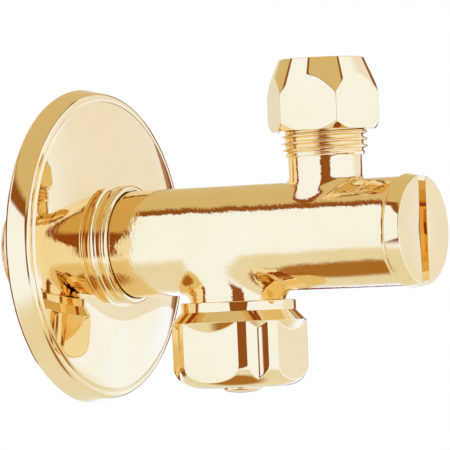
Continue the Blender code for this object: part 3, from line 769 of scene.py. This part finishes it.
def knob_radius(turns, turned_r, z):
    """Radius at each angle after four flats and four grooves are cut in the turned form."""
    turned_row = np.full(len(turns), turned_r)
    if z > KNOB_RIM_Z:
        return turned_row
    quarter = TURN / 4
    from_flat = (turns + quarter / 2) % quarter - quarter / 2
    from_groove = turns % quarter - quarter / 2
    flat = KNOB_FLAT_R / np.cos(from_flat)
    across = np.sqrt((from_groove / KNOB_GROOVE_HALF) ** 2 + KNOB_GROOVE_BLUNT)
    groove = KNOB_GROOVE_R + (KNOB_R - KNOB_GROOVE_R) * across
    shoulder = np.full(len(turns), KNOB_R - KNOB_SHOULDER_SLOPE * (KNOB_RIM_Z - z))
    cuts = soft_max([soft_min([flat, groove], KNOB_SOFTNESS), shoulder], KNOB_SOFTNESS)
    return soft_min([turned_row, cuts], KNOB_SOFTNESS)


def make_knob(material):
    """The knob: a turned cup with four wide flats and four narrow grooves, open towards the body."""
    marks = [45 * i for i in range(8)] + [90 * i + s for i in range(4) for s in KNOB_FINE_DEG]
    turns = fine_near(marks, spread_deg=2.2, fine_deg=0.25, coarse_deg=0.75)
    count = len(turns)
    loops = [(knob_radius(turns, r, z), np.full(count, z)) for r, z in rounded(knob_profile())]
    loops += fixed_loops(KNOB_INSIDE, count)
    knob = loop_solid("handle_knob_fluted", loops, list(turns), along_z(HANDLE_X), FORM_SHARP_DEG)
    return add_piece(knob, "handle", "gold_polished", material, "handle_knob")


def make_cover(material):
    """The domed plug in the knob's end, with its stem."""
    outline = [(0, COVER_STEM_TOP_Z), (COVER_STEM_R, COVER_STEM_TOP_Z), (COVER_STEM_R, COVER_RIM_Z),
               (COVER_RIM_R, COVER_RIM_Z)]
    rise = COVER_RIM_Z - COVER_RIM_HEIGHT - COVER_LOW_Z
    dome_turns = [math.radians(90 - 90 * i / COVER_STEPS) for i in range(COVER_STEPS)]
    dome = [(COVER_RIM_R * math.sin(a), COVER_LOW_Z + rise * (1 - math.cos(a))) for a in dome_turns]
    cover = lathe("handle_cover_dome", outline + dome + [(0, COVER_LOW_Z)], along_z(HANDLE_X), ROUND // 2)
    return add_piece(cover, "handle", "gold_polished", material, "handle_cover")


# Cap

def make_cap(material):
    """Slotted end cap: a short cone-sided head on a hollow threaded spigot."""
    outline = [(0, CAP_FRONT_X), (CAP_FRONT_R, CAP_FRONT_X, 0.28 * MM),
               (CAP_BACK_R, CAP_HEAD_BACK_X + 0.2 * MM, 0.12 * MM),
               (CAP_BACK_R - 0.15 * MM, CAP_HEAD_BACK_X), (CAP_SPIGOT_R, CAP_HEAD_BACK_X),
               (CAP_SPIGOT_R, CAP_SEAL_FRONT_X), (CAP_SEAL_GROOVE_R, CAP_SEAL_FRONT_X),
               (CAP_SEAL_GROOVE_R, CAP_SEAL_BACK_X), (CAP_SPIGOT_R, CAP_SEAL_BACK_X),
               (CAP_SPIGOT_R, CAP_BACK_X), (CAP_INSIDE_R, CAP_BACK_X),
               (CAP_INSIDE_R, CAP_SEAL_BACK_X), (0, CAP_SEAL_BACK_X)]
    cap = lathe("filter_cap_slotted", outline, along_x(), ROUND, TURNED_SHARP_DEG)
    cut_with(cap, slot_box())
    bevel(cap, CAP_BEVEL, 40)
    cap.data.set_sharp_from_angle(angle=math.radians(TURNED_SHARP_DEG))
    return add_piece(cap, "cap", "gold_polished", material, "filter_cap")


def slot_box():
    """The block that the cap's screwdriver slot is cut with."""
    corners = [(x, y, z) for x in (CAP_FRONT_X - CAP_SLOT_DEPTH, CAP_FRONT_X + 2 * MM)
               for y in (-CAP_SLOT_HALF, CAP_SLOT_HALF) for z in (-CAP_SLOT_REACH, CAP_SLOT_REACH)]
    faces = [(0, 1, 3, 2), (4, 6, 7, 5), (0, 4, 5, 1), (2, 3, 7, 6), (0, 2, 6, 4), (1, 5, 7, 3)]
    return link_mesh("cap_slot", corners, faces)


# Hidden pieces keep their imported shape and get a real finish

def finish_inner_pieces():
    """Gives each inner piece the finish of its packed material slot."""
    brass = machined("machined_brass", (0.72, 0.53, 0.24), 1.0, 0.24, 2500.0, 0.004 * MM)
    rubber = machined("black_rubber", (0.02, 0.02, 0.021), 0.0, 0.55, 3500.0, 0.01 * MM)
    steel = machined("stainless_steel", (0.62, 0.61, 0.59), 1.0, 0.28, 3000.0, 0.004 * MM)
    plastic = machined("white_plastic", (0.8, 0.79, 0.74), 0.0, 0.42, 2000.0, 0.006 * MM)
    finishes = {"brass_machined": brass, "rubber_black": rubber, "stainless": steel,
                "white_plastic": plastic}
    for part in frame["record"]["subparts"]:
        material = finishes.get(part["material_slot"])
        if material is not None:
            obj = frame["nodes"][part["node"]]
            obj.data.materials.clear()
            obj.data.materials.append(material)


# Stage: a pale paper floor, whose glow in reflections holds a painted shadow, painted light and painted
# shade, and a soft studio of two tall light banks with dark gaps between them

class Sums:
    """Writes node arithmetic as short calls."""

    def __init__(self, tree):
        self.nodes = tree.nodes
        self.links = tree.links

    def calc(self, operation, *values):
        """One arithmetic step on sockets or plain numbers."""
        node = self.nodes.new("ShaderNodeMath")
        node.operation = operation
        for socket, value in zip(node.inputs, values):
            self.feed(socket, value)
        return node.outputs[0]

    def feed(self, socket, value):
        """Links a socket to another, or sets its plain value."""
        if hasattr(value, "links"):
            self.links.new(value, socket)
        else:
            socket.default_value = value

    def rise(self, value, at, width):
        """0 below at, 1 above it, changing smoothly over width. at may vary."""
        node = self.nodes.new("ShaderNodeMapRange")
        node.interpolation_type = "SMOOTHSTEP"
        self.links.new(self.calc("SUBTRACT", value, at), node.inputs["Value"])
        node.inputs["From Min"].default_value = -width / 2
        node.inputs["From Max"].default_value = width / 2
        return node.outputs["Result"]

    def between(self, value, low, high, width):
        """1 between low and high, 0 outside, with both changes over width."""
        return self.calc("MULTIPLY", self.rise(value, low, width),
                         self.calc("SUBTRACT", 1.0, self.rise(value, high, width)))

    def paint(self, under, over, mask):
        """Lays one colour over another where the mask is 1."""
        node = self.nodes.new("ShaderNodeMix")
        node.data_type = "RGBA"
        for name, colour in (("A", under), ("B", over)):
            socket = [x for x in node.inputs if x.name == name and x.type == "RGBA"][0]
            self.feed(socket, colour if hasattr(colour, "links") else (*colour, 1.0))
        self.links.new(mask, node.inputs["Factor"])
        return [x for x in node.outputs if x.type == "RGBA"][0]


def angles_of(sums, vector):
    """A direction's angle round the studio from its front, and its height, both in degrees."""
    split = sums.nodes.new("ShaderNodeSeparateXYZ")
    sums.links.new(vector, split.inputs[0])
    x, y, z = split.outputs
    front = sums.calc("ADD", sums.calc("MULTIPLY", x, math.sin(STUDIO_YAW)),
                      sums.calc("MULTIPLY", y, -math.cos(STUDIO_YAW)))
    side = sums.calc("ADD", sums.calc("MULTIPLY", x, math.cos(STUDIO_YAW)),
                     sums.calc("MULTIPLY", y, math.sin(STUDIO_YAW)))
    round_deg = sums.calc("MULTIPLY", sums.calc("ARCTAN2", side, front), math.degrees(1))
    height_deg = sums.calc("MULTIPLY", sums.calc("ARCSINE", z), math.degrees(1))
    return round_deg, height_deg


def paint_banks(sums, round_deg, height_deg):
    """Two tall light banks with dark frames, a dark gap between them and two narrow dark boards behind."""
    lean = sums.calc("MAXIMUM", height_deg, 0.0)
    low = sums.calc("SUBTRACT", 1.0, sums.rise(height_deg, GAP_TOP, 10.0))
    left_edge = sums.calc("SUBTRACT", GAP_LEFT, sums.calc("MULTIPLY", lean, GAP_LEFT_LEAN))
    right_edge = sums.calc("ADD", GAP_RIGHT, lean)
    colour = sums.paint(LIT_PAPER, CEILING, sums.rise(height_deg, CEILING_START, 10.0))
    for start, end in BOARDS:
        board = sums.calc("MULTIPLY", sums.between(round_deg, start, end, 4.0), low)
        colour = sums.paint(colour, GAP_DARK, board)
    bank_top = sums.calc("SUBTRACT", 1.0, sums.rise(height_deg, BANK_TOP, 2.0))
    frame_top = sums.calc("SUBTRACT", 1.0, sums.rise(height_deg, FRAME_TOP, 3.0))
    frame_left = sums.between(round_deg, FRAME_LEFT, sums.calc("ADD", left_edge, FRAME_WIDTH), 4.0)
    frame_right = sums.between(round_deg, sums.calc("SUBTRACT", right_edge, FRAME_WIDTH), FRAME_RIGHT, 4.0)
    frames = sums.calc("MULTIPLY", sums.calc("MAXIMUM", frame_left, frame_right), frame_top)
    colour = sums.paint(colour, GAP_DARK, frames)
    gap = sums.between(round_deg, left_edge, right_edge, 2.0)
    colour = sums.paint(colour, GAP_DARK, sums.calc("MULTIPLY", gap, low))
    bank_left = sums.between(round_deg, BANK_LEFT, left_edge, 2.0)
    bank_right = sums.between(round_deg, right_edge, BANK_RIGHT, 2.0)
    colour = sums.paint(colour, LIGHT_COOL, sums.calc("MULTIPLY", bank_left, bank_top))
    fade = sums.paint(LIGHT_COOL, LIGHT_SOFT, sums.rise(round_deg, FADE_START, FADE_WIDTH))
    return sums.paint(colour, fade, sums.calc("MULTIPLY", bank_right, bank_top))


def make_world():
    """Light from every direction, by its angle round the studio and its height, both in degrees."""
    world = bpy.data.worlds.new("studio")
    world.use_nodes = True
    bpy.context.scene.world = world
    tree = world.node_tree
    sums = Sums(tree)
    where = tree.nodes.new("ShaderNodeTexCoord")
    round_deg, height_deg = angles_of(sums, where.outputs["Generated"])
    colour = paint_banks(sums, round_deg, height_deg)
    light = tree.nodes["Background"]
    tree.links.new(colour, light.inputs["Color"])
    paper = tree.nodes.new("ShaderNodeBackground")
    paper.inputs["Color"].default_value = WHITE
    show_paper(tree, light.outputs[0], paper.outputs[0], tree.nodes["World Output"])


def show_paper(tree, lit, paper, output):
    """The backdrop looks like plain white paper, and lights the object as the studio does."""
    seen = tree.nodes.new("ShaderNodeLightPath")
    shown = tree.nodes.new("ShaderNodeMixShader")
    tree.links.new(seen.outputs["Is Camera Ray"], shown.inputs["Fac"])
    tree.links.new(lit, shown.inputs[1])
    tree.links.new(paper, shown.inputs[2])
    tree.links.new(shown.outputs["Shader"], output.inputs["Surface"])


def paint_floor(sums, spot, reach):
    """The floor's glow in reflections: a painted shadow under the knob, painted light further out, and
    painted shade in line with the studio's dark gap and boards.
    """
    round_deg = angles_of(sums, spot)[0]
    # Painted shadow under the knob, then the floor's painted glow further out
    near = sums.paint(FLOOR_SHADE, LIT_PAPER, sums.rise(reach, *SHADE_REACH))
    colour = sums.paint(near, LIGHT_COOL, sums.rise(reach, *GLOW_REACH))
    # Painted shade: dark bands on the floor further out, where the studio's gap and boards lie
    gap = sums.calc("MULTIPLY", sums.between(round_deg, GAP_LEFT, GAP_RIGHT, 6.0),
                    sums.rise(reach, *GAP_REACH))
    boards = [sums.between(round_deg, *board) for board in FLOOR_BOARD_SHADE]
    boards = sums.calc("MULTIPLY", sums.calc("MAXIMUM", *boards), sums.rise(reach, *BOARD_REACH))
    return sums.paint(colour, GAP_DARK, sums.calc("MAXIMUM", gap, boards))


def make_floor():
    """A round sheet of pale paper below the valve, plain white to the camera; in reflections it glows with
    a painted shadow under the knob, painted light further out and painted dark bands.
    """
    floor_z = CAD_BOX[0][2] - FLOOR_DROP
    rim = [(FLOOR_R * math.cos(a), FLOOR_R * math.sin(a), floor_z)
           for a in (TURN * i / FLOOR_FACETS for i in range(FLOOR_FACETS))]
    floor = link_mesh("studio_floor", rim, [range(len(rim))])
    material, nodes, links = new_material("floor_paper_painted_light")
    tree = material.node_tree
    where = nodes.new("ShaderNodeTexCoord")
    from_knob = nodes.new("ShaderNodeVectorMath")
    from_knob.operation = "DISTANCE"
    links.new(where.outputs["Object"], from_knob.inputs[0])
    from_knob.inputs[1].default_value = (SHADE_X, SHADE_Y, floor_z)
    glow = nodes.new("ShaderNodeEmission")
    colour = paint_floor(Sums(tree), where.outputs["Object"], from_knob.outputs["Value"])
    links.new(colour, glow.inputs["Color"])
    paper = nodes.new("ShaderNodeEmission")
    paper.inputs["Color"].default_value = WHITE
    nodes.remove(nodes["Principled BSDF"])
    show_paper(tree, glow.outputs[0], paper.outputs[0], nodes["Material Output"])
    floor.data.materials.append(material)


def camera_axes():
    """The camera's right, up and forward directions."""
    sin_yaw, cos_yaw = math.sin(CAMERA_YAW), math.cos(CAMERA_YAW)
    cos_pitch = math.cos(CAMERA_PITCH)
    forward = np.array((-sin_yaw * cos_pitch, cos_yaw * cos_pitch, -math.sin(CAMERA_PITCH)))
    level = np.array((cos_yaw, sin_yaw, 0.0))
    upright = np.cross(level, forward)
    sin_roll, cos_roll = math.sin(CAMERA_ROLL), math.cos(CAMERA_ROLL)
    return cos_roll * level + sin_roll * upright, -sin_roll * level + cos_roll * upright, forward


def make_camera():
    """The camera of the main view: a long lens from the front right, level with the barrel."""
    right, up, forward = camera_axes()
    matrix = np.eye(4)
    matrix[:3, :3] = np.stack([right, up, -forward], axis=1)
    matrix[:3, 3] = -(CAMERA_SHIFT[0] * right + CAMERA_SHIFT[1] * up + CAMERA_SHIFT[2] * forward) * MM
    data = bpy.data.cameras.new("camera")
    data.sensor_width = SENSOR_MM
    data.lens = CAMERA_FOCAL * SENSOR_MM
    data.clip_start = 0.01
    data.clip_end = 50.0
    camera = bpy.data.objects.new("camera", data)
    camera.matrix_world = Matrix(matrix.tolist())
    bpy.context.scene.collection.objects.link(camera)
    bpy.context.scene.camera = camera


def main():
    """Sets the stage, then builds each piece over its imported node."""
    make_camera()
    make_world()
    make_floor()
    bpy.context.scene.view_settings.view_transform = "Standard"
    cast_gold = plated("cast_gold_plate", 0.05, 1400.0, 0.02 * MM, 160.0, 0.12 * MM)
    mirror_gold = plated("mirror_gold_plate", 0.03, 900.0, 0.002 * MM, 60.0, 0.04 * MM)
    finish_inner_pieces()
    make_casting(cast_gold)
    make_threads(mirror_gold)
    make_rosette(mirror_gold)
    make_nut(mirror_gold)
    make_knob(mirror_gold)
    make_cover(mirror_gold)
    make_cap(mirror_gold)


main()
